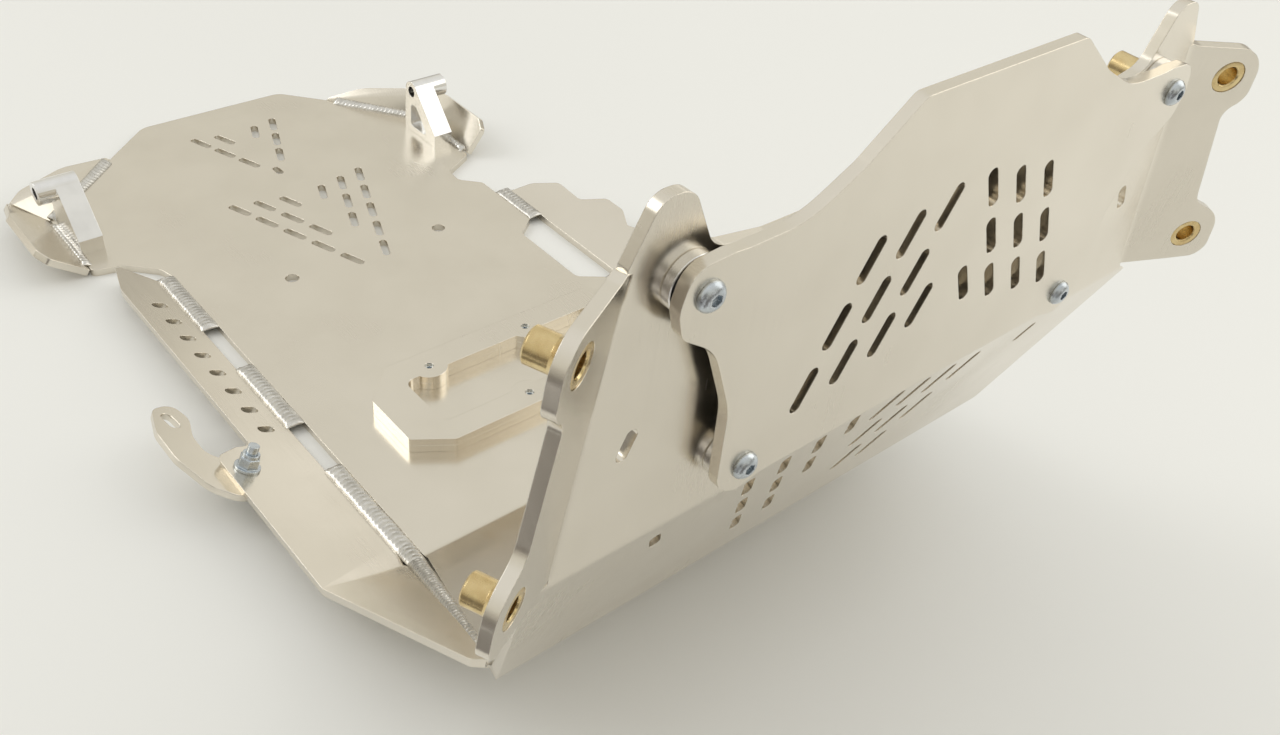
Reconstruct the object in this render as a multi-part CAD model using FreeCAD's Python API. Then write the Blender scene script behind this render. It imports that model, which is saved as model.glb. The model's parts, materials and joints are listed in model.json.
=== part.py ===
"""Aluminium engine skid plate: folded floor and front, side wings, bolted front guard.

Millimetres.  +Z is up, -Y is the front of the motorcycle, +X is the right side.
The floor lies flat: its underside is Z = 0, X = 0 is the centreline of the vents.
"""
import FreeCAD, Part
import math
import os

V = FreeCAD.Vector

# Sheet and folds of the main plate
T = 4.8
BEND_R = 7.0
FLOOR_REAR_Y = 334.0
FOLD_FLOOR = (-157.0, 0.0)
FOLD_LOW = (-276.0, 62.0)
FOLD_HIGH = (-321.2, 170.0)
PANEL_LEAN = 1.5
PANEL_TOP_Z = 312.0

# Plan shape of the floor
FLOOR_HALF = 117.0
RAMP_HALF_FRONT = 157.0
LOW_HALF_TOP = 178.0

# Vents
VENT_L = 19.0
VENT_W = 5.2
FLOOR_HOLE_R = 4.5
FLOOR_HOLE = (56.0, 98.8)

# Flanges that turn forward at both sides of the front panel
FLANGE_TURN = 27.0
FLANGE_R = 7.0
BEND_X_TOP = 151.0
BEND_Z_TOP = 288.0
BEND_X_LOW = 171.0
BEND_Z_LOW = 172.0
EAR_R = 14.5
EAR_HIGH = (22.0, 275.0)
EAR_LOW = (29.5, 190.0)

# Bushings in the flange ears
BUSH_RING_R = 7.4
BUSH_BODY_R = 6.0
BUSH_BORE_R = 4.25
BUSH_BEHIND = 11.5

# Front guard
GUARD_GAP_SPACER = 4.0
RUBBER_T = 1.2
GUARD_T = 4.8
SCREW_HIGH = (126.0, 280.2)
SCREW_LOW = (93.7, 193.6)
SCREW_HOLE_R = 3.3
SCREW_SHANK_R = 3.0
SCREW_HEAD_R = 5.5
SCREW_HEAD_H = 3.3
HEX_KEY_AF = 4.0
PAD_DISC_R = 10.5
RUBBER_R = 9.5
INSERT_BODY_R = 6.0
INSERT_FLANGE_R = 7.5
INSERT_BEHIND = 13.0

# Side wings
WING_IN = 127.0
WING_RISE = 0.435
WING_DROP = 5.3
WING_FRONT_OUT = 177.0
WING_REAR_OUT = 155.0

# Rear ears and mount blocks
EAR_PLATE_T = 4.8
BLOCK_W = 15.5
BARREL_R = 8.0
BARREL_L = 27.0
BARREL_BORE_R = 4.2
BARREL_H = 38.5
BLOCK_FOOT_FRONT = 194.0
BLOCK_FOOT_REAR = 236.0
BLOCK_BARREL_Y = 226.0

# Engine pad
PAD_T = 4.8
PAD_BOX = (-82.0, -100.0, 110.0, -24.0)
PAD_CUT = 22.0
PAD_HOLES = ((-38.0, -37.0), (32.0, -37.0), (-3.0, -90.0), (67.0, -90.0))

# Side bracket
ARM_T = 4.0
ARM_BOLT = (-166.5, -64.0)
ARM_HOLE_R = 3.3


def save(node, shape):
    """Write one node as a STEP file."""
    shape.exportStep(os.path.join("parts", node + ".step"))


def group(shapes, smallest=20.0):
    """Compound of the solids above a smallest volume, crumbs of a cut left out."""
    solids = []
    for shape in shapes:
        solids.extend(s for s in shape.Solids if s.Volume > smallest)
    return Part.makeCompound(solids)


def mirrored(shape):
    """Mirror a shape to the other side of the centreline."""
    return shape.mirror(V(0, 0, 0), V(1, 0, 0))


def rounded_wire(points, radii, place):
    """Closed wire through points with corner radii; place maps (a, b) to a vector."""
    n = len(points)
    if not isinstance(radii, (list, tuple)):
        radii = [radii] * n
    starts = []
    ends = []
    mids = []
    for i in range(n):
        ax, ay = points[i - 1]
        bx, by = points[i]
        cx, cy = points[(i + 1) % n]
        la = math.hypot(ax - bx, ay - by)
        lc = math.hypot(cx - bx, cy - by)
        ua = ((ax - bx) / la, (ay - by) / la)
        uc = ((cx - bx) / lc, (cy - by) / lc)
        dot = max(-1.0, min(1.0, ua[0] * uc[0] + ua[1] * uc[1]))
        half = math.acos(dot) / 2.0
        r = radii[i]
        if r <= 0.0 or half > math.radians(89.0):
            starts.append((bx, by))
            ends.append((bx, by))
            mids.append(None)
            continue
        d = min(r / math.tan(half), 0.49 * la, 0.49 * lc)
        r = d * math.tan(half)
        starts.append((bx + ua[0] * d, by + ua[1] * d))
        ends.append((bx + uc[0] * d, by + uc[1] * d))
        bis = (ua[0] + uc[0], ua[1] + uc[1])
        lb = math.hypot(*bis)
        reach = r / math.sin(half) - r
        mids.append((bx + bis[0] / lb * reach, by + bis[1] / lb * reach))
    edges = []
    for i in range(n):
        if mids[i] is not None:
            arc = Part.Arc(place(*starts[i]), place(*mids[i]), place(*ends[i]))
            edges.append(arc.toShape())
        nxt = (i + 1) % n
        a = place(*ends[i])
        b = place(*starts[nxt])
        if (a - b).Length > 1e-6:
            edges.append(Part.LineSegment(a, b).toShape())
    return Part.Wire(edges)


def plan(a, b, z=0.0):
    """Point of a plan drawing."""
    return V(a, b, z)


def prism_plan(points, radii, z0, z1):
    """Rounded outline in plan, extruded from z0 to z1."""
    wire = rounded_wire(points, radii, lambda a, b: V(a, b, z0))
    return Part.Face(wire).extrude(V(0, 0, z1 - z0))


def prism_front(points, radii, y0, y1):
    """Rounded outline in the front view (x, z), extruded from y0 to y1."""
    wire = rounded_wire(points, radii, lambda a, b: V(a, y0, b))
    return Part.Face(wire).extrude(V(0, y1 - y0, 0))


def stadium(cx, cy, angle, length, width, frame, depth):
    """Slot cutter at (cx, cy) of a local frame (origin, u, v, n), angle from v in degrees."""
    origin, u, v, n = frame
    s = math.sin(math.radians(angle))
    c = math.cos(math.radians(angle))
    d = u * s + v * c
    w = u * c - v * s
    base = origin + u * cx + v * cy - n * (depth / 2.0)
    h = (length - width) / 2.0
    r = width / 2.0
    p1 = base + d * h + w * r
    p2 = base + d * (h + r)
    p3 = base + d * h - w * r
    p4 = base - d * h - w * r
    p5 = base - d * (h + r)
    p6 = base - d * h + w * r
    edges = [
        Part.Arc(p1, p2, p3).toShape(),
        Part.LineSegment(p3, p4).toShape(),
        Part.Arc(p4, p5, p6).toShape(),
        Part.LineSegment(p6, p1).toShape(),
    ]
    return Part.Face(Part.Wire(edges)).extrude(n * depth)


def strip_face(path, radius, t, place):
    """Face of a folded strip: path is its outer line, the sheet lies on the left of it."""
    n = len(path)
    dirs = []
    for i in range(n - 1):
        dx = path[i + 1][0] - path[i][0]
        dy = path[i + 1][1] - path[i][1]
        length = math.hypot(dx, dy)
        dirs.append((dx / length, dy / length))
    outer = []
    inner = []

    def left(d):
        return (-d[1], d[0])

    def shifted(p, d, k):
        q = left(d)
        return (p[0] + q[0] * k, p[1] + q[1] * k)

    outer_now = path[0]
    inner_now = shifted(path[0], dirs[0], t)
    for i in range(1, n - 1):
        d0 = dirs[i - 1]
        d1 = dirs[i]
        turn = math.atan2(d0[0] * d1[1] - d0[1] * d1[0], d0[0] * d1[0] + d0[1] * d1[1])
        side = 1.0 if turn > 0 else -1.0
        r_out = radius + t if side > 0 else radius
        r_in = radius if side > 0 else radius + t
        back = r_out * math.tan(abs(turn) / 2.0)
        a = (path[i][0] - d0[0] * back, path[i][1] - d0[1] * back)
        b = (path[i][0] + d1[0] * back, path[i][1] + d1[1] * back)
        centre = shifted(a, d0, side * r_out)
        m = (path[i][0] - centre[0], path[i][1] - centre[1])
        lm = math.hypot(*m)
        mo = (centre[0] + m[0] / lm * r_out, centre[1] + m[1] / lm * r_out)
        mi = (centre[0] + m[0] / lm * r_in, centre[1] + m[1] / lm * r_in)
        ai = shifted(a, d0, t)
        bi = shifted(b, d1, t)
        outer.append(("line", outer_now, a))
        outer.append(("arc", a, mo, b))
        inner.append(("line", inner_now, ai))
        inner.append(("arc", ai, mi, bi))
        outer_now = b
        inner_now = bi
    outer_end = path[-1]
    inner_end = shifted(path[-1], dirs[-1], t)
    outer.append(("line", outer_now, outer_end))
    inner.append(("line", inner_now, inner_end))
    edges = []
    for item in outer:
        if item[0] == "line":
            edges.append(Part.LineSegment(place(*item[1]), place(*item[2])).toShape())
        else:
            edges.append(Part.Arc(place(*item[1]), place(*item[2]), place(*item[3])).toShape())
    edges.append(Part.LineSegment(place(*outer_end), place(*inner_end)).toShape())
    for item in reversed(inner):
        if item[0] == "line":
            edges.append(Part.LineSegment(place(*item[2]), place(*item[1])).toShape())
        else:
            edges.append(Part.Arc(place(*item[3]), place(*item[2]), place(*item[1])).toShape())
    start_in = shifted(path[0], dirs[0], t)
    edges.append(Part.LineSegment(place(*start_in), place(*path[0])).toShape())
    return Part.Face(Part.Wire(edges))


# Frames of the sloping faces
LEAN = math.radians(PANEL_LEAN)
PANEL_UP = V(0, -math.sin(LEAN), math.cos(LEAN))
PANEL_OUT = V(0, -math.cos(LEAN), -math.sin(LEAN))
X_AXIS = V(1, 0, 0)
LOW_DIR = V(0, FOLD_HIGH[0] - FOLD_LOW[0], FOLD_HIGH[1] - FOLD_LOW[1]).normalize()
LOW_OUT = V(0, -LOW_DIR.z, LOW_DIR.y)


def panel_point(x, z, out=0.0):
    """Point of the panel's front face at height z, moved outwards by out."""
    y = FOLD_HIGH[0] - math.tan(LEAN) * (z - FOLD_HIGH[1])
    return V(x, y, z) + PANEL_OUT * out


def panel_frame(out=0.0):
    """Frame of the front panel with v measured as height."""
    return (panel_point(0, 0, out), X_AXIS, PANEL_UP, PANEL_OUT)


def floor_outline():
    """Floor and ramp in plan, left side first, with corner radii."""
    pts = [
        (56.0, 334.0, 12.0), (-56.0, 334.0, 14.0), (-92.0, 303.0, 20.0),
        (-126.0, 268.0, 20.0), (-157.0, 246.0, 6.0), (-157.0, 174.0, 4.0),
        (-138.0, 170.0, 8.0), (-121.0, 153.0, 12.0), (-FLOOR_HALF, 138.0, 8.0),
        (-FLOOR_HALF, FOLD_FLOOR[0] - 2.0, 0.0), (-RAMP_HALF_FRONT, FOLD_LOW[0], 0.0),
        (-RAMP_HALF_FRONT - 6.0, FOLD_LOW[0] - 12.0, 0.0),
        (RAMP_HALF_FRONT + 6.0, FOLD_LOW[0] - 12.0, 0.0),
        (RAMP_HALF_FRONT, FOLD_LOW[0], 0.0), (FLOOR_HALF, FOLD_FLOOR[0] - 2.0, 0.0),
        (FLOOR_HALF, -92.0, 2.0), (103.0, -80.0, 5.0), (103.0, -56.0, 5.0),
        (FLOOR_HALF, -44.0, 2.0),
        (FLOOR_HALF, -12.0, 2.0), (101.0, -1.0, 6.0), (101.0, 62.0, 6.0),
        (FLOOR_HALF, 74.0, 2.0), (FLOOR_HALF, 133.0, 4.0), (104.0, 146.0, 6.0),
        (105.0, 160.0, 6.0), (131.0, 174.0, 4.0), (131.0, 244.0, 6.0),
        (113.0, 262.0, 20.0), (82.0, 306.0, 25.0),
    ]
    return [(p[0], p[1]) for p in pts], [p[2] for p in pts]


def front_outline():
    """Low panel and front panel between the two bends, in the front view."""
    half = [
        (RAMP_HALF_FRONT - 6.0, 40.0, 0.0), (RAMP_HALF_FRONT, 60.0, 8.0),
        (LOW_HALF_TOP, 168.0, 3.0), (BEND_X_LOW - 1.0, 172.0, 0.0),
        (BEND_X_TOP, BEND_Z_TOP, 0.0), (150.0, 292.0, 4.0),
        (140.0, 312.0, 8.0), (128.0, 312.0, 8.0), (117.0, 288.0, 10.0),
        (104.0, 286.0, 10.0), (92.0, 284.0, 10.0),
    ]
    right = [(p[0], p[1]) for p in half]
    left = [(-p[0], p[1]) for p in reversed(half)]
    radii = [p[2] for p in half]
    return right + left, radii + list(reversed(radii))


def main_blank():
    """Folded strip cut to the plan outline and to the front outline."""
    path = [(FLOOR_REAR_Y + 6.0, 0.0), FOLD_FLOOR, FOLD_LOW, FOLD_HIGH]
    top = panel_point(0, PANEL_TOP_Z + 10.0)
    path.append((top.y, top.z))
    face = strip_face([(-p[0], p[1]) for p in path], BEND_R, T, lambda a, b: V(-260.0, -a, b))
    sheet = face.extrude(V(520.0, 0, 0))
    pts, radii = floor_outline()
    lower = prism_plan(pts, radii, -10.0, 75.0)
    split_y = FOLD_LOW[0] + 0.0
    keep_floor = Part.makeBox(520.0, 700.0, 90.0, V(-260.0, split_y, -12.0))
    floor = sheet.common(lower).common(keep_floor)
    fpts, fradii = front_outline()
    front_prism = prism_front(fpts, fradii, -360.0, split_y)
    front = sheet.common(front_prism)
    return floor.fuse(front).removeSplitter()


def flange_frame():
    """Bend line of the right flange and the directions of its sheet."""
    low = panel_point(BEND_X_LOW, BEND_Z_LOW)
    top = panel_point(BEND_X_TOP, BEND_Z_TOP)
    line = (top - low).normalize()
    across = PANEL_OUT.cross(line).normalize()
    if across.x < 0:
        across = across * -1.0
    turn = math.radians(FLANGE_TURN)
    away = across * math.cos(turn) + PANEL_OUT * math.sin(turn)
    face = PANEL_OUT * math.cos(turn) - across * math.sin(turn)
    return low, line, across, away, face


def flange_point(u, z):
    """Point on the front face of the right flange, u from the bend, at height z."""
    low, line, across, away, face = flange_frame()
    k = (z - low.z) / line.z
    p = low + line * k
    flat = V(away.x, away.y, 0).normalize()
    return p + flat * u


def flange_solid():
    """Right flange with its bend, two round ears and the bushing holes."""
    low, line, across, away, face = flange_frame()

    def place(a, b):
        return low + across * a + PANEL_OUT * b - line * 30.0

    c = math.cos(math.radians(FLANGE_TURN))
    s = math.sin(math.radians(FLANGE_TURN))
    path = [(-22.0, -T), (0.0, -T), (70.0 * c, -T + 70.0 * s)]
    strip = strip_face(path, FLANGE_R, T, place).extrude(line * 220.0)
    ear_hi = EAR_HIGH
    ear_lo = EAR_LOW
    pts = [
        (-21.0, 178.0), (0.0, 174.5), (EAR_LOW[0] - 4.0, ear_lo[1] - EAR_R),
        (ear_lo[0] + EAR_R - 1.0, ear_lo[1] - EAR_R + 1.0),
        (ear_lo[0] + EAR_R, ear_lo[1] + EAR_R - 4.0), (28.5, 209.0), (25.0, 258.0),
        (ear_hi[0] + EAR_R - 2.0, ear_hi[1] - EAR_R + 3.0),
        (ear_hi[0] + EAR_R, ear_hi[1] + EAR_R - 2.0),
        (4.0, 290.0), (0.0, 291.0), (-16.0, 287.0), (-20.0, 270.0),
    ]
    radii = [0, 0, 4, 13, 12, 8, 10, 12, 12, 6, 0, 0, 0]
    wire = rounded_wire(pts, radii, lambda a, b: flange_point(a, b) - face * 40.0)
    cutter = Part.Face(wire).extrude(face * 60.0)
    return strip.common(cutter)


def bush_axis(which):
    """Centre on the front face and outward direction for a right-hand bushing."""
    low, line, across, away, face = flange_frame()
    return flange_point(*which), face


def vents_floor():
    """Cutters of the V-shaped vent groups and the two drain holes of the floor."""
    frame = (V(0, 0, T / 2.0), X_AXIS, V(0, 1, 0), V(0, 0, 1))
    cuts = []
    for side in (-1.0, 1.0):
        rows = []
        for i in range(5):
            rows.append((12.4 + 8.7 * i, 97.6 + 23.3 * i))
        for i in range(3):
            rows.append((12.7 + 8.8 * i, 139.7 + 23.7 * i))
        rows.append((12.6, 183.0))
        for i in range(3):
            rows.append((12.2 + 8.45 * i, 246.5 + 22.0 * i))
        rows.append((12.3, 286.6))
        for x, y in rows:
            cuts.append(stadium(side * x, y, side * 20.5, VENT_L, VENT_W, frame, 20.0))
        hole = Part.makeCylinder(FLOOR_HOLE_R, 20.0, V(side * FLOOR_HOLE[0], FLOOR_HOLE[1], -5.0))
        cuts.append(hole)
    cuts.append(stadium(0.0, 226.0, 0.0, 11.0, VENT_W, frame, 20.0))
    return cuts


def vents_guard():
    """Slot centres of the guard on its right half."""
    spots = []
    for i in range(3):
        spots.append((49.9 + 9.8 * i, 264.2 - 24.0 * i))
        spots.append((31.0 + 9.75 * i, 267.8 - 23.7 * i))
        spots.append((12.3 + 9.65 * i, 272.5 - 24.0 * i))
    spots.append((13.0, 230.3))
    return spots


def vents_front():
    """Cutters of the single slots and of the pattern in the low panel."""
    cuts = []
    panel = panel_frame(-T / 2.0)
    low = (V(0, FOLD_LOW[0], FOLD_LOW[1]) - LOW_OUT * (T / 2.0), X_AXIS, LOW_DIR, LOW_OUT)
    for side in (-1.0, 1.0):
        cuts.append(stadium(side * 141.8, 220.4, side * -24.0, 13.0, VENT_W, panel, 16.0))
        cuts.append(stadium(side * 113.8, 97.0, side * 22.0, 14.0, VENT_W, low, 16.0))
        spots = []
        for i in range(3):
            spots.append((66.8 - 11.4 * i, 98.6 - 27.7 * i))
            spots.append((48.0 - 11.4 * i, 100.6 - 27.7 * i))
        for i in range(2):
            spots.append((29.2 - 11.4 * i, 102.6 - 27.7 * i))
        spots.append((10.8, 104.6))
        for x, s in spots:
            cuts.append(stadium(side * x, s, side * 22.4, 21.0, VENT_W, low, 16.0))
    return cuts


def build_main():
    """Folded main plate with flanges, vents and bushing holes."""
    plate = main_blank()
    right = flange_solid()
    plate = plate.fuse([right, mirrored(right)]).removeSplitter()
    cuts = vents_floor() + vents_front()
    for which in (EAR_HIGH, EAR_LOW):
        centre, out = bush_axis(which)
        hole = Part.makeCylinder(BUSH_RING_R, 24.0, centre - out * 12.0, out)
        cuts.append(hole)
        cuts.append(mirrored(hole))
    for x, z in (SCREW_HIGH, SCREW_LOW):
        for side in (-1.0, 1.0):
            base = panel_point(side * x, z, 6.0)
            cuts.append(Part.makeCylinder(INSERT_BODY_R - 1.4, 20.0, base, PANEL_OUT * -1.0))
    return plate.cut(cuts)


def guard_outline():
    """Front guard in the front view, with corner radii."""
    half = [
        (43.0, 322.5, 6.0), (66.0, 304.5, 20.0), (88.0, 292.5, 40.0), (112.0, 292.0, 8.0),
        (118.0, 292.5, 8.0), (134.0, 291.5, 10.0), (137.5, 278.0, 10.0), (134.5, 267.0, 8.0),
        (119.0, 256.0, 25.0), (107.5, 226.0, 30.0), (106.0, 188.0, 11.0),
        (96.0, 181.5, 10.0), (84.0, 185.0, 12.0),
    ]
    right = [(p[0], p[1]) for p in half]
    left = [(-p[0], p[1]) for p in reversed(half)]
    radii = [p[2] for p in half]
    return right + left, radii + list(reversed(radii))


def build_guard():
    """Flat guard plate that stands on four spacers in front of the panel."""
    near = GUARD_GAP_SPACER + RUBBER_T
    pts, radii = guard_outline()
    wire = rounded_wire(pts, radii, lambda a, b: panel_point(a, b, near))
    plate = Part.Face(wire).extrude(PANEL_OUT * GUARD_T)
    frame = panel_frame(near + GUARD_T / 2.0)
    cuts = []
    for side in (-1.0, 1.0):
        for x, z in vents_guard():
            cuts.append(stadium(side * x, z, side * -25.0, VENT_L, VENT_W, frame, 16.0))
        for x, z in (SCREW_HIGH, SCREW_LOW):
            base = panel_point(side * x, z, near - 5.0)
            cuts.append(Part.makeCylinder(SCREW_HOLE_R, 20.0, base, PANEL_OUT))
    return plate.cut(cuts)


def ring(r_out, r_in, length, base, direction):
    """Plain ring."""
    body = Part.makeCylinder(r_out, length, base, direction)
    return body.cut(Part.makeCylinder(r_in, length + 2.0, base - direction * 1.0, direction))


def revolved(profile, base, direction):
    """Solid of revolution of (radius, height) points about an axis."""
    pts = [V(r, 0, h) for r, h in profile]
    pts.append(pts[0])
    face = Part.Face(Part.makePolygon(pts))
    solid = face.revolve(V(0, 0, 0), V(0, 0, 1), 360.0)
    turn = FreeCAD.Rotation(V(0, 0, 1), direction)
    solid.Placement = FreeCAD.Placement(base, turn)
    return solid


def hex_prism(af, height, base, direction):
    """Hexagonal prism standing on base along direction."""
    r = af / 2.0 / math.cos(math.radians(30.0))
    pts = []
    for i in range(7):
        a = math.radians(60.0 * i)
        pts.append(V(r * math.cos(a), r * math.sin(a), 0))
    solid = Part.Face(Part.makePolygon(pts)).extrude(V(0, 0, height))
    turn = FreeCAD.Rotation(V(0, 0, 1), direction)
    solid.Placement = FreeCAD.Placement(base, turn)
    return solid


def build_bushing(which):
    """Flanged bushing of a right-hand ear, ring flush with the front face."""
    centre, out = bush_axis(which)
    back = T + BUSH_BEHIND
    profile = [
        (BUSH_BORE_R + 0.6, 0.0), (BUSH_RING_R - 0.5, 0.0), (BUSH_RING_R, -0.5),
        (BUSH_RING_R, -T - 1.2), (BUSH_BODY_R, -T - 3.0), (BUSH_BODY_R, -back + 0.7),
        (BUSH_BODY_R - 0.7, -back), (BUSH_BORE_R, -back), (BUSH_BORE_R, -0.6),
    ]
    return revolved(profile, centre, out)


def build_spacer(x, z):
    """Aluminium disc between the panel and the rubber washer."""
    return ring(PAD_DISC_R, SCREW_HOLE_R, GUARD_GAP_SPACER, panel_point(x, z), PANEL_OUT)


def build_rubber(x, z):
    """Thin rubber washer under the guard."""
    base = panel_point(x, z, GUARD_GAP_SPACER)
    return ring(RUBBER_R, SCREW_HOLE_R, RUBBER_T, base, PANEL_OUT)


def build_screw(x, z):
    """Button-head socket screw."""
    face_out = GUARD_GAP_SPACER + RUBBER_T + GUARD_T
    h = SCREW_HEAD_H
    r = SCREW_HEAD_R
    reach = face_out + T + INSERT_BEHIND - 4.0
    profile = [
        (0.0, -reach), (SCREW_SHANK_R - 0.6, -reach), (SCREW_SHANK_R, -reach + 0.8),
        (SCREW_SHANK_R, 0.0), (r, 0.0), (r, 0.7), (r * 0.93, 1.5), (r * 0.78, 2.3),
        (r * 0.6, 2.9), (r * 0.42, h), (0.0, h),
    ]
    base = panel_point(x, z, face_out)
    body = revolved(profile, base, PANEL_OUT)
    key = hex_prism(HEX_KEY_AF, 3.0, base + PANEL_OUT * (h - 2.2), PANEL_OUT)
    return body.cut(key)


def build_insert(x, z):
    """Threaded bushing pressed in from the rear of the panel."""
    r_in = SCREW_SHANK_R + 0.05
    profile = [
        (r_in, -0.2), (INSERT_BODY_R - 1.4, -0.2), (INSERT_BODY_R - 1.4, -T),
        (INSERT_FLANGE_R, -T), (INSERT_FLANGE_R, -T - 1.6), (INSERT_BODY_R, -T - 2.6),
        (INSERT_BODY_R, -T - INSERT_BEHIND + 0.7), (INSERT_BODY_R - 0.7, -T - INSERT_BEHIND),
        (r_in + 0.6, -T - INSERT_BEHIND), (r_in, -T - INSERT_BEHIND + 0.6),
    ]
    return revolved(profile, panel_point(x, z), PANEL_OUT)


def wing_planes(drop):
    """Two facets of the left wing as a solid slab, lowered by drop at its underside."""
    inner_x = -WING_IN
    out_x = -230.0
    fold_in = (inner_x + 30.0, -150.7)
    fold_out = (out_x, -170.5)

    def z_flat(x):
        return T + WING_RISE * (-x - WING_IN)

    z_in = z_flat(fold_in[0])
    z_out = z_flat(fold_out[0])
    flat = [
        V(fold_in[0], fold_in[1], z_in), V(fold_in[0], 260.0, z_in),
        V(out_x, 260.0, z_out), V(fold_out[0], fold_out[1], z_out),
    ]
    run = 160.0
    rise = 0.505 * run
    front = [
        V(fold_in[0], fold_in[1], z_in), V(fold_out[0], fold_out[1], z_out),
        V(fold_out[0], fold_out[1] - run, z_out + rise),
        V(fold_in[0], fold_in[1] - run, z_in + rise),
    ]
    solids = []
    for quad in (flat, front):
        face = Part.Face(Part.makePolygon(quad + [quad[0]]))
        solids.append(face.extrude(V(0, 0, -drop)))
    return solids[0].fuse(solids[1]).removeSplitter()


def ramp_edge_x(y):
    """Half width of the ramp at y."""
    k = (FOLD_FLOOR[0] - 2.0 - y) / (FOLD_FLOOR[0] - 2.0 - FOLD_LOW[0])
    return FLOOR_HALF + (RAMP_HALF_FRONT - FLOOR_HALF) * k


def build_wing_left():
    """Left wing: perforated strip, bracket tab and the part that follows the ramp."""
    slab = wing_planes(WING_DROP)
    pts = [
        (-WING_IN, 140.0), (-146.5, 160.0), (-WING_REAR_OUT, 128.0), (-WING_REAR_OUT, -44.0),
        (-164.0, -45.0), (-177.0, -52.0), (-WING_FRONT_OUT, -163.0),
        (-RAMP_HALF_FRONT - 9.0, FOLD_LOW[0] + 6.0), (-RAMP_HALF_FRONT - 3.5, FOLD_LOW[0] + 1.0),
        (-FLOOR_HALF - 9.5, FOLD_FLOOR[0] - 6.0), (-WING_IN, FOLD_FLOOR[0] + 16.0),
    ]
    radii = [0, 3, 20, 6, 4, 8, 14, 3, 0, 10, 6]
    wing = slab.common(prism_plan(pts, radii, 0.0, 160.0))
    tilt = V(WING_RISE, 0, 1).normalize()
    cuts = []
    for i in range(8):
        y = 109.0 - 19.84 * i
        top = V(-139.6, y, T + WING_RISE * 12.6)
        cuts.append(stadium(0, 0, 90.0, 10.0, 6.0, (top, V(1, 0, -WING_RISE).normalize(),
                                                   V(0, 1, 0), tilt), 20.0))
    bx, by = ARM_BOLT
    top = V(bx, by, T + WING_RISE * (-bx - WING_IN))
    cuts.append(Part.makeCylinder(ARM_HOLE_R, 30.0, top - tilt * 15.0, tilt))
    return wing.cut(cuts)


def build_wing_right():
    """Right wing with its stepped upper edge."""
    slab = mirrored(wing_planes(WING_DROP))
    pts = [
        (WING_IN, 118.0), (128.0, 112.0), (141.0, 105.0), (153.0, 88.0), (152.0, 62.0),
        (164.0, 46.0), (164.0, 28.0), (157.0, 14.0), (160.0, 4.0), (172.0, -6.0),
        (WING_FRONT_OUT, -30.0), (WING_FRONT_OUT, -163.0),
        (RAMP_HALF_FRONT + 9.0, FOLD_LOW[0] + 6.0), (RAMP_HALF_FRONT + 3.5, FOLD_LOW[0] + 1.0),
        (FLOOR_HALF + 9.5, FOLD_FLOOR[0] - 6.0), (WING_IN, FOLD_FLOOR[0] + 16.0),
    ]
    radii = [0, 4, 12, 10, 8, 8, 8, 6, 6, 10, 12, 14, 3, 0, 10, 6]
    return slab.common(prism_plan(pts, radii, 0.0, 160.0))


def build_ear(side):
    """Raised plate at a rear corner; side is -1 for left, 1 for right."""
    hinge = 157.0 if side < 0 else 131.0
    rise = math.radians(38.0 if side < 0 else 56.0)
    length = 34.0 if side < 0 else 27.0
    y_rear = 246.0 if side < 0 else 244.0
    u = V(side * math.cos(rise), 0, math.sin(rise))
    n = V(-side * math.sin(rise), 0, math.cos(rise))
    origin = V(side * (hinge + 0.4), 0, T)
    pts = [(0.0, 175.5), (length - 6.0, 174.0), (length, 182.0), (length, y_rear - 12.0),
           (length * 0.55, y_rear), (0.0, y_rear - 0.5)]
    radii = [0, 5, 6, 9, 9, 0]
    wire = rounded_wire(pts, radii, lambda a, b: origin + u * a + V(0, b, 0))
    return Part.Face(wire).extrude(n * -EAR_PLATE_T)


def build_block(side):
    """Machined mount block: foot, sloping web and a cross barrel on top."""
    inner = 140.0 if side < 0 else 114.5
    x0 = side * inner
    z_top = T + BARREL_H - T
    cy = BLOCK_BARREL_Y
    r = BARREL_R
    foot_front = BLOCK_FOOT_FRONT
    slope = math.atan2(z_top - (T + 9.0), cy - foot_front)
    tx = cy - r * math.sin(slope)
    tz = z_top + r * math.cos(slope)
    pts = [
        V(x0, foot_front, T), V(x0, BLOCK_FOOT_REAR, T), V(x0, BLOCK_FOOT_REAR, T + 7.0),
        V(x0, cy + r, z_top), V(x0, cy, z_top), V(x0, tx, tz), V(x0, foot_front, T + 10.0),
    ]
    pts.append(pts[0])
    web = Part.Face(Part.makePolygon(pts)).extrude(V(side * BLOCK_W, 0, 0))
    axis = V(side, 0, 0)
    barrel = Part.makeCylinder(r, BARREL_L, V(x0, cy, z_top), axis)
    body = web.fuse(barrel).removeSplitter()
    bore = Part.makeCylinder(BARREL_BORE_R, BARREL_L + 4.0, V(x0 - side * 2.0, cy, z_top), axis)
    pocket_pts = [
        (foot_front + 9.0, T + 5.0), (cy + 2.0, T + 5.0), (cy + 1.0, z_top - r - 2.5),
        (cy - 6.0, z_top - r - 2.5),
    ]
    wire = rounded_wire(pocket_pts, 3.0, lambda a, b: V(x0 - side * 1.0, a, b))
    pocket = Part.Face(wire).extrude(V(side * 6.0, 0, 0))
    return body.cut([bore, pocket])


def pad_outline():
    """Chamfered outline of the engine pad."""
    x0, y0, x1, y1 = PAD_BOX
    c = PAD_CUT
    return [(x0, y0 + c * 0.65), (x0 + c, y0), (x1 - c, y0), (x1, y0 + c * 0.65),
            (x1, y1 - c), (x1 - c, y1), (x0 + c, y1), (x0, y1 - c)]


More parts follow.
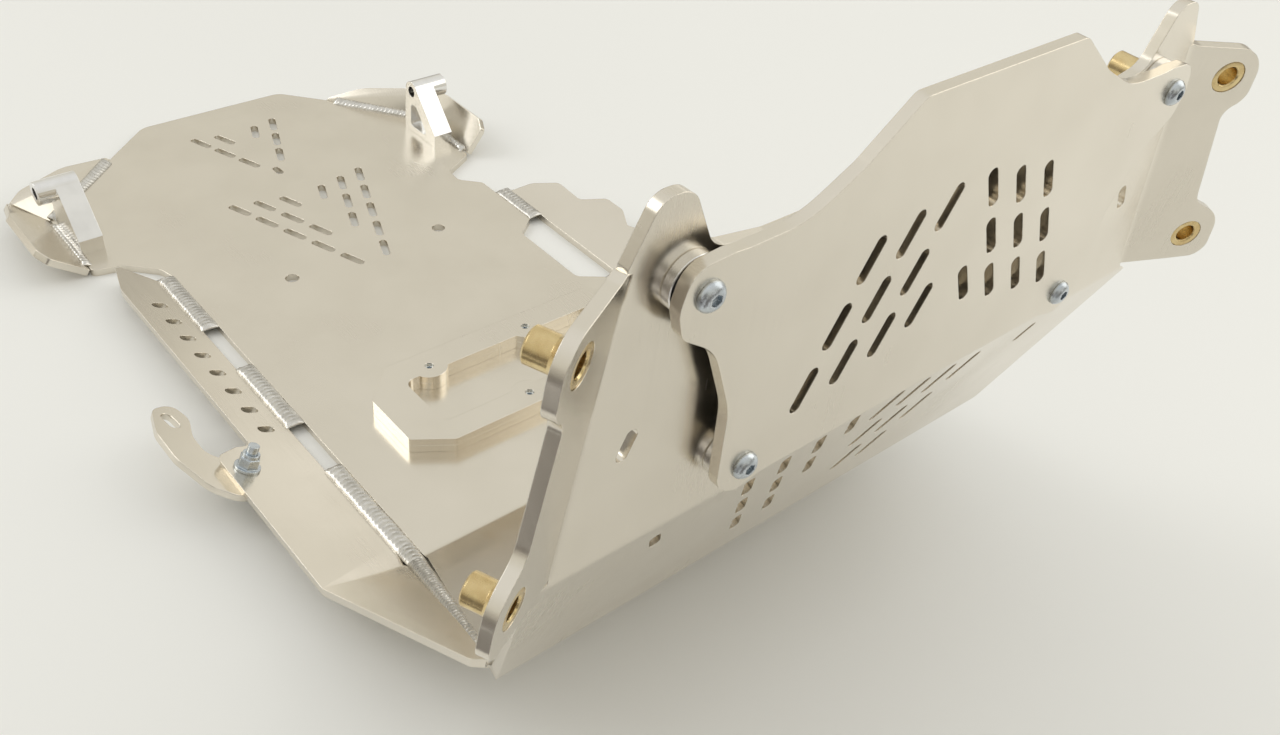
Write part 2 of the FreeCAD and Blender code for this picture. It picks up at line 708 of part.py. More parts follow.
def build_pad(z0):
    """One layer of the engine pad, open in the middle around its four screws."""
    body = prism_plan(pad_outline(), 3.0, z0, z0 + PAD_T)
    hole = prism_plan([(-58.0, -84.0), (86.0, -84.0), (86.0, -42.0), (-58.0, -42.0)], 6.0,
                      z0 - 1.0, z0 + PAD_T + 1.0)
    for x, y in PAD_HOLES:
        boss = Part.makeCylinder(11.0, PAD_T + 2.0, V(x, y, z0 - 1.0))
        hole = hole.cut(boss)
    body = body.cut(hole)
    drill = [Part.makeCylinder(2.6, PAD_T + 2.0, V(x, y, z0 - 1.0)) for x, y in PAD_HOLES]
    return body.cut(drill)


def build_pad_screws():
    """Four flat-headed screws that hold the pad, sunk in their holes."""
    solids = []
    for x, y in PAD_HOLES:
        head = Part.makeCylinder(2.55, 2.0 * PAD_T - 1.6, V(x, y, T))
        key = hex_prism(2.5, 2.0, V(x, y, T + 2.0 * PAD_T - 3.4), V(0, 0, 1))
        solids.append(head.cut(key))
    return Part.makeCompound(solids)


def arm_frame():
    """Top face of the bracket arm: it lies flat under the wing tab."""
    tilt = V(WING_RISE, 0, 1).normalize()
    bx, by = ARM_BOLT
    top = V(bx, by, T + WING_RISE * (-bx - WING_IN))
    under = top - tilt * (WING_DROP * tilt.z)
    along = V(-1, 0, WING_RISE).normalize()
    return top, under, along, tilt


def build_arm():
    """Curved flat bracket with a slot near its tip."""
    top, under, along, tilt = arm_frame()

    def place(a, b):
        return under + along * a + V(0, b, 0)

    pts = [(-13.0, -14.0), (10.0, -18.0), (22.0, -6.0), (29.0, 20.0), (29.0, 44.0),
           (22.0, 66.0), (9.0, 70.0), (5.0, 55.0), (11.0, 38.0), (11.0, 20.0), (-4.0, 13.0),
           (-13.0, 8.0)]
    radii = [9, 12, 20, 24, 20, 8, 8, 16, 20, 12, 10, 8]
    bar = Part.Face(rounded_wire(pts, radii, place)).extrude(tilt * -ARM_T)
    bolt = Part.makeCylinder(ARM_HOLE_R, 20.0, under - tilt * 10.0, tilt)
    slot = stadium(0, 0, 8.0, 14.0, 6.0, (place(16.5, 54.0), along, V(0, 1, 0), tilt), 20.0)
    return bar.cut([bolt, slot])


def build_arm_bolt():
    """Flanged hex bolt from below."""
    top, under, along, tilt = arm_frame()
    seat = under - tilt * ARM_T
    flange = Part.makeCylinder(7.0, 1.4, seat - tilt * 1.4, tilt)
    head = hex_prism(10.0, 5.0, seat - tilt * 6.0, tilt)
    shank = Part.makeCylinder(3.0, 23.0, seat, tilt)
    return flange.fuse([head, shank]).removeSplitter()


def build_arm_nut():
    """Flanged locking nut on top of the wing tab."""
    top, under, along, tilt = arm_frame()
    flange = Part.makeCylinder(7.0, 1.6, top, tilt)
    body = hex_prism(10.0, 6.0, top + tilt * 1.2, tilt)
    collar = Part.makeCylinder(4.6, 2.4, top + tilt * 7.0, tilt)
    nut = flange.fuse([body, collar]).removeSplitter()
    return nut.cut(Part.makeCylinder(3.05, 20.0, top - tilt * 4.0, tilt))


def bead(x0, x1, y0, y1, top):
    """Weld bead bar between two edges with a rounded crown."""
    mid = (x0 + x1) / 2.0
    a = V(x0, y0, 0.3)
    b = V(x0, y0, top)
    c = V(mid, y0, top + 1.6)
    d = V(x1, y0, top)
    e = V(x1, y0, 0.3)
    edges = [
        Part.LineSegment(a, b).toShape(), Part.Arc(b, c, d).toShape(),
        Part.LineSegment(d, e).toShape(), Part.LineSegment(e, a).toShape(),
    ]
    return Part.Face(Part.Wire(edges)).extrude(V(0, y1 - y0, 0))


def bead_section(y, inner, inner_z, outer, outer_z, depth):
    """Five-sided section of a weld bead at y between an inner and an outer edge."""
    mid = (inner + outer) / 2.0
    pts = [
        V(inner, y, inner_z - depth), V(inner, y, inner_z),
        V(mid, y, (inner_z + outer_z) / 2.0 + 1.5), V(outer, y, outer_z),
        V(outer, y, outer_z - depth),
    ]
    return Part.makePolygon(pts + [pts[0]])


def ramp_bead():
    """Right-hand bead along the slanted edge of the ramp."""
    sections = [
        bead_section(-140.0, 116.2, T + 0.2, 128.2, T + 0.5, 4.5),
        bead_section(-157.5, 116.4, T + 1.2, 128.4, T + 2.2, 4.5),
        bead_section(-217.0, 136.0, 37.0, 145.0, 41.5, 5.0),
        bead_section(-275.0, 155.4, 67.2, 162.4, 77.4, 9.0),
    ]
    return Part.makeLoft(sections, True, True)


def ear_bead(side):
    """Fillet bead along the hinge line of a rear ear."""
    hinge = 157.0 if side < 0 else 131.0
    base = V(side * (hinge + 0.2), 179.0, T - 0.4)
    return Part.makeCylinder(3.0, 58.0, base, V(0, 1, 0))


def main():
    """Build every node and write it."""
    os.makedirs("parts", exist_ok=True)
    plate = build_main()
    wing_l = build_wing_left()
    wing_r = build_wing_right()
    wing_l = wing_l.cut(plate)
    wing_r = wing_r.cut(plate)
    ear_l = build_ear(-1.0).cut([plate, wing_l])
    ear_r = build_ear(1.0).cut([plate, wing_r])
    save("main_plate", plate)
    save("wing_left", wing_l)
    save("wing_right", wing_r)
    save("ear_left", ear_l)
    save("ear_right", ear_r)
    save("front_guard", build_guard())
    bush_names = (("upper", EAR_HIGH), ("lower", EAR_LOW))
    for name, which in bush_names:
        part = build_bushing(which)
        save("bushing_%s_right" % name, part)
        save("bushing_%s_left" % name, mirrored(part))
    for name, spot in (("upper", SCREW_HIGH), ("lower", SCREW_LOW)):
        for side_name, side in (("left", -1.0), ("right", 1.0)):
            x = side * spot[0]
            z = spot[1]
            save("guard_spacer_%s_%s" % (name, side_name), build_spacer(x, z))
            save("guard_washer_%s_%s" % (name, side_name), build_rubber(x, z))
            save("guard_screw_%s_%s" % (name, side_name), build_screw(x, z))
            save("guard_insert_%s_%s" % (name, side_name), build_insert(x, z))
    block_l = build_block(-1.0).cut([plate, ear_l])
    block_r = build_block(1.0).cut([plate, ear_r])
    save("mount_block_left", block_l)
    save("mount_block_right", block_r)
    save("pad_lower", build_pad(T))
    save("pad_upper", build_pad(T + PAD_T))
    save("pad_screws", build_pad_screws())
    save("bracket_arm", build_arm().cut(wing_l))
    save("bracket_bolt", build_arm_bolt())
    save("bracket_nut", build_arm_nut())
    slant = ramp_bead()
    left = [bead(-128.6, -116.6, 77.0, 142.0, T), bead(-128.6, -116.6, -31.0, 33.0, T),
            bead(-128.6, -116.6, -140.0, -72.0, T).fuse(mirrored(slant))]
    right = [bead(116.6, 128.6, 74.0, 117.0, T), bead(116.6, 128.6, -44.0, -12.0, T),
             bead(116.6, 128.6, -140.0, -92.0, T).fuse(slant)]
    ear_l_bead = ear_bead(-1.0).cut([plate, ear_l, block_l])
    ear_r_bead = ear_bead(1.0).cut([plate, ear_r, block_r])
    save("weld_left", group([b.cut([plate, wing_l]) for b in left] + [ear_l_bead]))
    save("weld_right", group([b.cut([plate, wing_r]) for b in right] + [ear_r_bead]))


main()
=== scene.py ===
"""Look of a folded aluminium engine skid plate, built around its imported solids.

Metres, +Z up, -Y is the front of the motorcycle and +X its right side.
A value whose name ends in _mm is in millimetres and becomes metres where it enters a mesh.
"""

import json
import logging
import math
from dataclasses import dataclass
from enum import Enum
from typing import Any

import bmesh
import bpy
from mathutils import Matrix, Vector, noise

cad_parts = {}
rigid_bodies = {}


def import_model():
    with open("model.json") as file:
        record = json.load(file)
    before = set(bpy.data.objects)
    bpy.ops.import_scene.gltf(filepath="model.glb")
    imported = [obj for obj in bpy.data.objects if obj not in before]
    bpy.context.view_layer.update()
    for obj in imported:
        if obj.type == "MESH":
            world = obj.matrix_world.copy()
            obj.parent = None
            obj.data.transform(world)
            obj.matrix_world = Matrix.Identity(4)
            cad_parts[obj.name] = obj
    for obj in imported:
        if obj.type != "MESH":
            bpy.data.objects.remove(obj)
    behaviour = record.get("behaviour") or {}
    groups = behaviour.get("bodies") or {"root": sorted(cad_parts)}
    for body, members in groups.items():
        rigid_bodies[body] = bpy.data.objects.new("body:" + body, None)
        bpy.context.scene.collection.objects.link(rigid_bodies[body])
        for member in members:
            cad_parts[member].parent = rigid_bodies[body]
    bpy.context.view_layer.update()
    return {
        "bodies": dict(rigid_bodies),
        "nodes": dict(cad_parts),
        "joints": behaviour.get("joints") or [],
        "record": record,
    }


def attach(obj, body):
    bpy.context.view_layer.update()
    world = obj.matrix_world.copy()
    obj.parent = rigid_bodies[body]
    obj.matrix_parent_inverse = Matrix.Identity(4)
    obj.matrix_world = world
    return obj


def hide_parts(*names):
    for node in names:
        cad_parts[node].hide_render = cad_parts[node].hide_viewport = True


LOG = logging.getLogger("skid_plate")
MM = 0.001
UP = Vector((0.0, 0.0, 1.0))
# Thickness of the folded sheet, and with it the height of the floor's upper face.
SHEET_MM = 4.8
# Edges that turn by more than this are bevelled.
SHARP_DEG = 38.0
# Turned points closer than this, in metres, are one.
TOUCH = 1e-6
HEX_SIDES = 6

Pair = tuple[float, float]
Spot = tuple[float, float, float]
Colour = tuple[float, float, float]
BeadLine = tuple[tuple[Spot, ...], tuple[float, ...], tuple[Spot, ...]]


class Slot(Enum):
    """Material slots of the record."""

    SHEET = "sheet_aluminium"
    MACHINED = "machined_aluminium"
    WELD = "weld_aluminium"
    GOLD = "gold_plated"
    ZINC = "zinc_steel"
    RUBBER = "black_rubber"


class Side(Enum):
    """Sides of the motorcycle, valued by the sign of X."""

    LEFT = -1.0
    RIGHT = 1.0

    @property
    def mark(self) -> str:
        """The side's word in the names of nodes and pieces."""
        return self.name.lower()


class Bevelled(Enum):
    """What a bevel takes off."""

    EDGES = "EDGES"
    CORNERS = "VERTICES"


class Grain(Enum):
    """How the rolling or tool marks run over a surface, as noise stretch per axis."""

    ALONG_PLATE = (900.0, 26.0, 26.0)
    ACROSS_PLATE = (26.0, 700.0, 700.0)
    EVEN = (420.0, 420.0, 420.0)


class Graph:
    """Adds and links the shader nodes of one material or world."""

    def __init__(self, owner: bpy.types.Material | bpy.types.World) -> None:
        """Start an empty node tree.

        Args:
            owner: Material or world that holds the tree.
        """
        owner.use_nodes = True
        self.tree = owner.node_tree
        self.tree.nodes.clear()

    def add(self, kind: str, values: dict[Any, Any] | None = None, **settings: Any) -> Any:
        """Add one node.

        Args:
            kind: Node type without the ShaderNode prefix.
            values: Input values by socket name or index; a socket is linked.
            settings: Attributes of the node.

        Returns:
            The new node.
        """
        node = self.tree.nodes.new("ShaderNode" + kind)
        for key, value in settings.items():
            setattr(node, key, value)
        for key, value in (values or {}).items():
            if isinstance(value, bpy.types.NodeSocket):
                self.tree.links.new(value, node.inputs[key])
            else:
                node.inputs[key].default_value = value
        return node

    def ramp(self, factor: Any, stops: tuple[tuple[float, Colour], ...]) -> Any:
        """Colour ramp of a factor.

        Args:
            factor: Socket that drives the ramp.
            stops: Position and colour of each stop.

        Returns:
            The colour socket.
        """
        node = self.add("ValToRGB", {"Fac": factor})
        elements = node.color_ramp.elements
        while len(elements) < len(stops):
            elements.new(0.5)
        for element, (position, colour) in zip(elements, stops):
            element.position = position
            element.color = (*colour, 1.0)
        return node.outputs["Color"]

    def span(self, value: Any, source: Pair, result: Pair = (0.0, 1.0)) -> Any:
        """Clamped map of a value from one range to another.

        Args:
            value: Socket to map.
            source: Start and end of the value's range.
            result: What they become.

        Returns:
            The mapped socket.
        """
        ends = {"From Min": source[0], "From Max": source[1], "To Min": result[0], "To Max": result[1]}
        return self.add("MapRange", {"Value": value, **ends}).outputs["Result"]

    def calc(self, operation: str, first: Any, second: Any) -> Any:
        """Result socket of one arithmetic node."""
        return self.add("Math", {0: first, 1: second}, operation=operation).outputs[0]

    def stretch(self, place: Any, factors: Spot) -> Any:
        """Place multiplied axis by axis."""
        return self.add("VectorMath", {0: place, 1: factors}, operation="MULTIPLY").outputs[0]

    def dot(self, first: Any, second: Any) -> Any:
        """Dot product of two directions."""
        return self.add("VectorMath", {0: first, 1: second}, operation="DOT_PRODUCT").outputs["Value"]

    def speckle(self, place: Any, scale: float, detail: float, roughness: float = 0.5) -> Any:
        """Noise value at a place."""
        values = {"Vector": place, "Scale": scale, "Detail": detail, "Roughness": roughness}
        return self.add("TexNoise", values).outputs["Fac"]

    def mix(self, factor: Any, first: Any, second: Any) -> Any:
        """Colour between two colours by a factor.

        Args:
            factor: Socket from 0, the first colour, to 1, the second.
            first: Colour or colour socket.
            second: Colour or colour socket.

        Returns:
            The mixed colour socket.
        """
        node = self.add("Mix", {"Factor": factor}, data_type="RGBA")
        for socket, value in ((node.inputs[6], first), (node.inputs[7], second)):
            if isinstance(value, bpy.types.NodeSocket):
                self.tree.links.new(value, socket)
            else:
                socket.default_value = (*value, 1.0)
        return node.outputs[2]

    def surface(self, values: dict[str, Any]) -> None:
        """Link a principled shader with these values to the material's output."""
        shader = self.add("BsdfPrincipled", values)
        self.add("OutputMaterial", {"Surface": shader.outputs[0]})


@dataclass(frozen=True)
class Finish:
    """A finished material and the record's slot that it stands for."""

    material: bpy.types.Material
    slot: Slot


@dataclass(frozen=True)
class MetalFinish:
    """Bare, plated or machined metal with grain, faint cloudiness and smoother edges whose colour is
    brightened as a painted highlight.

    A scale counts noise cells per metre. A span is the part of a noise's or an angle's range that shows.
    """

    name: str
    slot: Slot
    colour: Colour
    shade: Colour
    roughness: Pair
    grain: Grain
    grain_depth: float = 0.08
    grain_detail: float = 3.0
    grain_roughness: float = 0.6
    cloud_scale: float = 18.0
    cloud_detail: float = 4.0
    cloud_span: Pair = (0.35, 0.68)
    polish_span: Pair = (0.3, 0.7)
    streak: float = 1.0
    streak_span: Pair = (0.35, 0.65)
    streak_swing: Pair = (-0.04, 0.05)
    edge_radius_mm: float = 0.5
    edge_samples: int = 4
    edge_span: Pair = (0.999, 0.93)
    edge_highlight_gain: float = 0.25
    edge_highlight_cover: float = 0.7
    edge_polish: float = 0.08
    fine_scale: float = 2600.0
    fine_share: float = 0.35
    bump_mm: float = 0.4
    scratches: float = 0.0
    scratch_turns: tuple[Pair, ...] = ((0.35, 3.0), (-1.1, 11.0))
    scratch_stretch: Spot = (14.0, 900.0, 200.0)
    scratch_span: Pair = (0.7, 0.76)

    def build(self) -> Finish:
        """Make the material.

        Returns:
            The finish with its slot.
        """
        material = bpy.data.materials.new(self.name)
        graph = Graph(material)
        place = graph.add("TexCoord").outputs["Object"]
        stretched = graph.stretch(place, self.grain.value)
        grain = graph.speckle(stretched, 1.0, self.grain_detail, self.grain_roughness)
        cloud = graph.speckle(place, self.cloud_scale, self.cloud_detail)
        radius = {"Radius": self.edge_radius_mm * MM}
        rounded = graph.add("Bevel", radius, samples=self.edge_samples).outputs[0]
        facing = graph.dot(rounded, graph.add("NewGeometry").outputs["Normal"])
        edge = graph.span(facing, self.edge_span)
        bump = graph.add("Bump", {
            "Strength": self.grain_depth, "Distance": self.bump_mm * MM,
            "Height": self._height(graph, place, grain), "Normal": rounded,
        })
        graph.surface({
            "Base Color": self._tint(graph, cloud, edge), "Metallic": 1.0,
            "Roughness": self._polish(graph, cloud, grain, edge), "Normal": bump.outputs[0],
        })
        return Finish(material, self.slot)

    def _tint(self, graph: Graph, cloud: Any, edge: Any) -> Any:
        """Clouded colour with a painted highlight: the colour is brightened on the bevelled edges.

        Args:
            graph: The material's graph.
            cloud: Slow noise.
            edge: 1 on an edge, 0 on a flat.

        Returns:
            The colour socket.
        """
        colour = graph.mix(graph.span(cloud, self.cloud_span), self.colour, self.shade)
        # Painted highlight: the edges get a lighter copy of the colour, standing in for edge glints.
        edge_highlight = tuple(min(1.0, c * (1.0 + self.edge_highlight_gain)) for c in self.colour)
        return graph.mix(graph.calc("MULTIPLY", edge, self.edge_highlight_cover), colour, edge_highlight)

    def _polish(self, graph: Graph, cloud: Any, grain: Any, edge: Any) -> Any:
        """Roughness that follows the cloud and the grain and is less on rubbed edges.

        Args:
            graph: The material's graph.
            cloud: Slow noise.
            grain: Stretched noise.
            edge: 1 on an edge, 0 on a flat.

        Returns:
            The roughness socket.
        """
        rough = graph.span(cloud, self.polish_span, self.roughness)
        low, high = self.streak_swing
        swing = (low * self.streak, high * self.streak)
        rough = graph.calc("ADD", rough, graph.span(grain, self.streak_span, swing))
        return graph.calc("SUBTRACT", rough, graph.calc("MULTIPLY", edge, self.edge_polish))

    def _height(self, graph: Graph, place: Any, grain: Any) -> Any:
        """Height of the grain, the fine pits and a few long hairline scratches in two directions.

        Args:
            graph: The material's graph.
            place: Object coordinates.
            grain: Stretched noise.

        Returns:
            The height socket.
        """
        fine = graph.speckle(place, self.fine_scale, 1.0)
        height = graph.calc("ADD", grain, graph.calc("MULTIPLY", fine, self.fine_share))
        if self.scratches <= 0.0:
            return height
        total: Any = 0.0
        for turn, shift in self.scratch_turns:
            mapped = graph.add("Mapping", {
                "Vector": place, "Rotation": (0.0, 0.0, turn), "Location": (shift, 0.0, 0.0),
                "Scale": self.scratch_stretch,
            })
            lines = graph.speckle(mapped.outputs[0], 1.0, 2.0)
            total = graph.calc("ADD", total, graph.span(lines, self.scratch_span, (0.0, self.scratches)))
        return graph.calc("SUBTRACT", height, total)


@dataclass(frozen=True)
class RubberFinish:
    """Matt black rubber with fine pores that carry a painted sheen."""

    name: str
    slot: Slot
    colour: Colour = (0.018, 0.018, 0.02)
    sheen_gain: float = 1.8
    pore_scale: float = 900.0
    pore_depth: float = 0.2
    pore_mm: float = 0.3
    polish_span: Pair = (0.3, 0.7)
    roughness: Pair = (0.6, 0.78)

    def build(self) -> Finish:
        """Make the material.

        Returns:
            The finish with its slot.
        """
        material = bpy.data.materials.new(self.name)
        graph = Graph(material)
        pores = graph.speckle(graph.add("TexCoord").outputs["Object"], self.pore_scale, 3.0)
        bump = graph.add("Bump", {"Strength": self.pore_depth, "Distance": self.pore_mm * MM, "Height": pores})
        # Painted sheen: a lighter copy of the black is laid over the pores.
        pore_sheen = tuple(c * self.sheen_gain for c in self.colour)
        graph.surface({
            "Base Color": graph.mix(pores, self.colour, pore_sheen),
            "Roughness": graph.span(pores, self.polish_span, self.roughness),
            "Normal": bump.outputs[0],
        })
        return Finish(material, self.slot)


@dataclass(frozen=True)
class TableFinish:
    """Pale laminate of the table top."""

    name: str = "pale_table"
    colour: Colour = (0.86, 0.86, 0.84)
    shade_share: float = 0.99
    cloud_scale: float = 3.0
    roughness: float = 0.45

    def build(self) -> bpy.types.Material:
        """Make the material.

        Returns:
            The material, which is no slot of the record.
        """
        material = bpy.data.materials.new(self.name)
        graph = Graph(material)
        cloud = graph.speckle(graph.add("TexCoord").outputs["Object"], self.cloud_scale, 2.0)
        shade = tuple(c * self.shade_share for c in self.colour)
        graph.surface({"Base Color": graph.mix(cloud, self.colour, shade), "Roughness": self.roughness})
        return material


class Finishes:
    """Every finish of the plate, made once."""

    def __init__(self) -> None:
        """Build the materials."""
        self.plate = MetalFinish(
            "rolled_sheet", Slot.SHEET, (0.785, 0.735, 0.645), (0.745, 0.695, 0.605), (0.20, 0.27),
            Grain.ALONG_PLATE, grain_depth=0.014, scratches=0.10, streak=0.4,
        ).build()
        self.machined = MetalFinish(
            "milled_block", Slot.MACHINED, (0.86, 0.85, 0.83), (0.78, 0.77, 0.75), (0.13, 0.2),
            Grain.ACROSS_PLATE, grain_depth=0.05, cloud_scale=60.0,
        ).build()
        self.weld = MetalFinish(
            "weld_bead", Slot.WELD, (0.72, 0.70, 0.66), (0.56, 0.54, 0.50), (0.22, 0.34),
            Grain.EVEN, grain_depth=0.05, cloud_scale=160.0, edge_highlight_gain=0.1,
        ).build()
        self.gold = MetalFinish(
            "yellow_passivated", Slot.GOLD, (0.76, 0.61, 0.33), (0.63, 0.47, 0.23), (0.2, 0.3),
            Grain.EVEN, grain_depth=0.06, cloud_scale=150.0,
        ).build()
        self.zinc = MetalFinish(
            "blue_zinc", Slot.ZINC, (0.60, 0.64, 0.67), (0.48, 0.52, 0.56), (0.22, 0.32),
            Grain.EVEN, grain_depth=0.06, cloud_scale=200.0,
        ).build()
        self.rubber = RubberFinish("black_rubber", Slot.RUBBER).build()


def finish_piece(
    mesh: bmesh.types.BMesh, name: str, finish: Finish, sharp_deg: float = 32.0
) -> bpy.types.Object:
    """Turn a bmesh into a shown piece of the plate.

    Args:
        mesh: The finished bmesh; it is freed.
        name: Name of the piece.
        finish: Its finish.
        sharp_deg: Edges sharper than this stay sharp in the shading.

    Returns:
        The new object, riding on the body.
    """
    data = bpy.data.meshes.new(name)
    mesh.to_mesh(data)
    mesh.free()
    # This also resets the face marks that a copied solid brings along.
    data.materials.clear()
    data.materials.append(finish.material)
    data.shade_smooth()
    data.set_sharp_from_angle(angle=math.radians(sharp_deg))
    piece = bpy.data.objects.new(name, data)
    bpy.context.scene.collection.objects.link(piece)
    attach(piece, "root")
    return piece


def soften(
    mesh: bmesh.types.BMesh, geom: list[Any], size_mm: float, segments: int, what: Bevelled = Bevelled.EDGES
) -> None:
    """Bevel edges or corners of a mesh.

    Args:
        mesh: The mesh.
        geom: Its edges or corners.
        size_mm: Width of the bevel.
        segments: Facets across it.
        what: Whether geom is edges or corners.
    """
    bmesh.ops.bevel(
        mesh, geom=geom, offset=size_mm * MM, offset_type="OFFSET", affect=what.value,
        segments=segments, profile=0.5, material=-1, clamp_overlap=True,
    )


@dataclass
class SolidPart:
    """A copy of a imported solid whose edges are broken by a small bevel."""

    node: str
    finish: Finish
    edge_mm: float = 0.4
    segments: int = 2
    merge_mm: float = 0.002
    flat_deg: float = 0.8

    def build(self, frame: dict[str, Any]) -> bpy.types.Object:
        """Copy the solid, merge it and bevel its edges.


        Returns:
            The piece that stands for the node.
        """
        mesh = bmesh.new()
        mesh.from_mesh(frame["nodes"][self.node].data)
        bmesh.ops.remove_doubles(mesh, verts=mesh.verts, dist=self.merge_mm * MM)
        bmesh.ops.dissolve_limit(
            mesh, angle_limit=math.radians(self.flat_deg), verts=mesh.verts, edges=mesh.edges,
            use_dissolve_boundaries=False,
        )
        limit = math.radians(SHARP_DEG)
        edges = [e for e in mesh.edges if e.is_manifold and e.calc_face_angle(0.0) > limit]
        soften(mesh, edges, self.edge_mm, self.segments)
        piece = finish_piece(mesh, self.node + "_piece", self.finish)
        normals = piece.modifiers.new("even_normals", "WEIGHTED_NORMAL")
        normals.keep_sharp = True
        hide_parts(self.node)
        return piece


@dataclass
class WeldBead:
    """A row of overlapping ripples laid along a line of points."""

    name: str
    points_mm: tuple[Spot, ...]
    widths_mm: tuple[float, ...]
    sides: tuple[Spot, ...]
    crown_mm: float = 1.9
    sunk_mm: float = 0.25
    pitch_mm: float = 3.3
    ripple_mm: float = 0.75
    ripple_arc: float = 0.42
    ripple_power: float = 0.6
    end_mm: float = 3.0
    wander_steps: Pair = (0.11, 0.4)
    wander_row: float = 3.1
    wander_width: float = 0.09
    wander_phase: float = 0.35
    skin_mm: float = 1.6
    sharp_deg: float = 60.0
    columns: int = 12
    rows_per_ripple: int = 7
    least_rows: int = 8

    def build(self, finish: Finish) -> bpy.types.Object:
        """Lay the bead.

        Args:
            finish: The weld finish.

        Returns:
            The bead's piece.
        """
        points = [Vector(p) for p in self.points_mm]
        spans = [(b - a).length for a, b in zip(points, points[1:])]
        total = sum(spans)
        rows = max(self.least_rows, int(total / self.pitch_mm * self.rows_per_ripple))
        mesh = bmesh.new()
        bmesh.ops.create_grid(mesh, x_segments=self.columns, y_segments=rows, size=0.5)
        for vert in mesh.verts:
            across = vert.co.x * 2.0
            along = (vert.co.y + 0.5) * total
            vert.co = self._point(points, spans, across, along) * MM
        bmesh.ops.recalc_face_normals(mesh, faces=mesh.faces)
        if sum(f.normal.z for f in mesh.faces) < 0.0:
            bmesh.ops.reverse_faces(mesh, faces=mesh.faces)
        piece = finish_piece(mesh, self.name, finish, self.sharp_deg)
        body = piece.modifiers.new("body", "SOLIDIFY")
        body.thickness = self.skin_mm * MM
        body.offset = -1.0
        return piece

    def _point(self, points: list[Vector], spans: list[float], across: float, along: float) -> Vector:
        """Place of one grid point.

        Args:
            points: Points of the line.
            spans: Lengths of its runs.
            across: Place across the bead, from -1 to 1.
            along: Distance from the start of the line.

        Returns:
            The place in millimetres.
        """
        step = 0
        left = along
        while step < len(spans) - 1 and left > spans[step]:
            left -= spans[step]
            step += 1
        k = min(1.0, left / spans[step])
        base = points[step].lerp(points[step + 1], k)
        heading = (points[step + 1] - points[step]).normalized()
        side = Vector(self.sides[step]).lerp(Vector(self.sides[step + 1]), k).normalized()
        up = side.cross(heading).normalized()
        if up.z < 0.0:
            up = -up
        width = self.widths_mm[step] * (1.0 - k) + self.widths_mm[step + 1] * k
        slow, fast = self.wander_steps
        wander = noise.noise(Vector((along * slow, across * fast, self.wander_row)))
        reach = width * 0.5 * (1.0 + self.wander_width * wander)
        phase = (along - self.ripple_arc * width * across * across) / self.pitch_mm
        height = self._crown(across, phase + self.wander_phase * wander)
        ends = min(1.0, along / self.end_mm, (sum(spans) - along) / self.end_mm)
        return base + side * (across * reach) + up * (height * max(0.0, ends) ** 0.5)

    def _crown(self, across: float, phase: float) -> float:
        """Height of the bead over its line.

        Args:
            across: Place across the bead, from -1 to 1.
            phase: Ripples passed since the start of the line.

        Returns:
            The height in millimetres.
        """
        tooth = phase - math.floor(phase)
        rounded = math.sqrt(max(0.0, 1.0 - across * across))
        ripple = self.ripple_mm * (tooth ** self.ripple_power) * rounded
        return self.crown_mm * rounded + ripple - self.sunk_mm


@dataclass
class Turned:
    """A turned part: a profile of (radius, height) in millimetres spun about its axis."""

    name: str
    nodes: list[str]
    profile_mm: list[Pair]
    origin: Vector
    axis: Vector
    steps: int = 56
    hex_mm: float = 0.0
    hex_depth_mm: float = 0.0

    def build(self, finish: Finish) -> bpy.types.Object:
        """Spin the profile and stand it on its axis.

        Args:
            finish: Finish of the part.

        Returns:
            The piece that stands for the nodes.
        """
        mesh = bmesh.new()
        line = [mesh.verts.new((r * MM, 0.0, h * MM)) for r, h in self.profile_mm]
        edges = [mesh.edges.new(pair) for pair in zip(line, line[1:])]
        if self.hex_mm <= 0.0:
            edges.append(mesh.edges.new((line[-1], line[0])))
        bmesh.ops.spin(
            mesh, geom=line + edges, cent=(0, 0, 0), axis=(0, 0, 1), angle=math.tau,
            steps=self.steps, use_merge=True, use_duplicate=False,
        )
        bmesh.ops.remove_doubles(mesh, verts=mesh.verts, dist=TOUCH)
        if self.hex_mm > 0.0:
            self._socket(mesh)
        bmesh.ops.recalc_face_normals(mesh, faces=mesh.faces)
        turn = UP.rotation_difference(self.axis).to_matrix().to_4x4()
        bmesh.ops.transform(mesh, matrix=Matrix.Translation(self.origin) @ turn, verts=mesh.verts)
        piece = finish_piece(mesh, self.name, finish)
        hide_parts(*self.nodes)
        return piece

    def _socket(self, mesh: bmesh.types.BMesh) -> None:
        """Sink a hexagonal socket into the open top ring of the head.

        Args:
            mesh: The spun head, with its axis on Z.
        """
        top = self.profile_mm[-1][1] * MM
        ring = [
            e for e in mesh.edges
            if e.is_boundary and all(abs(v.co.z - top) < TOUCH for v in e.verts)
        ]
        corner = self.hex_mm * MM / 2.0 / math.cos(math.pi / HEX_SIDES)
        made = bmesh.ops.create_circle(
            mesh, segments=HEX_SIDES, radius=corner, matrix=Matrix.Translation((0.0, 0.0, top))
        )
        hexagon = list({e for v in made["verts"] for e in v.link_edges})
        bmesh.ops.bridge_loops(mesh, edges=ring + hexagon)
        sunk = bmesh.ops.extrude_edge_only(mesh, edges=hexagon)["geom"]
        low = [g for g in sunk if isinstance(g, bmesh.types.BMVert)]
        bmesh.ops.translate(mesh, vec=(0.0, 0.0, -self.hex_depth_mm * MM), verts=low)
        rim = [g for g in sunk if isinstance(g, bmesh.types.BMEdge) and g.is_boundary]
        bmesh.ops.holes_fill(mesh, edges=rim, sides=HEX_SIDES)


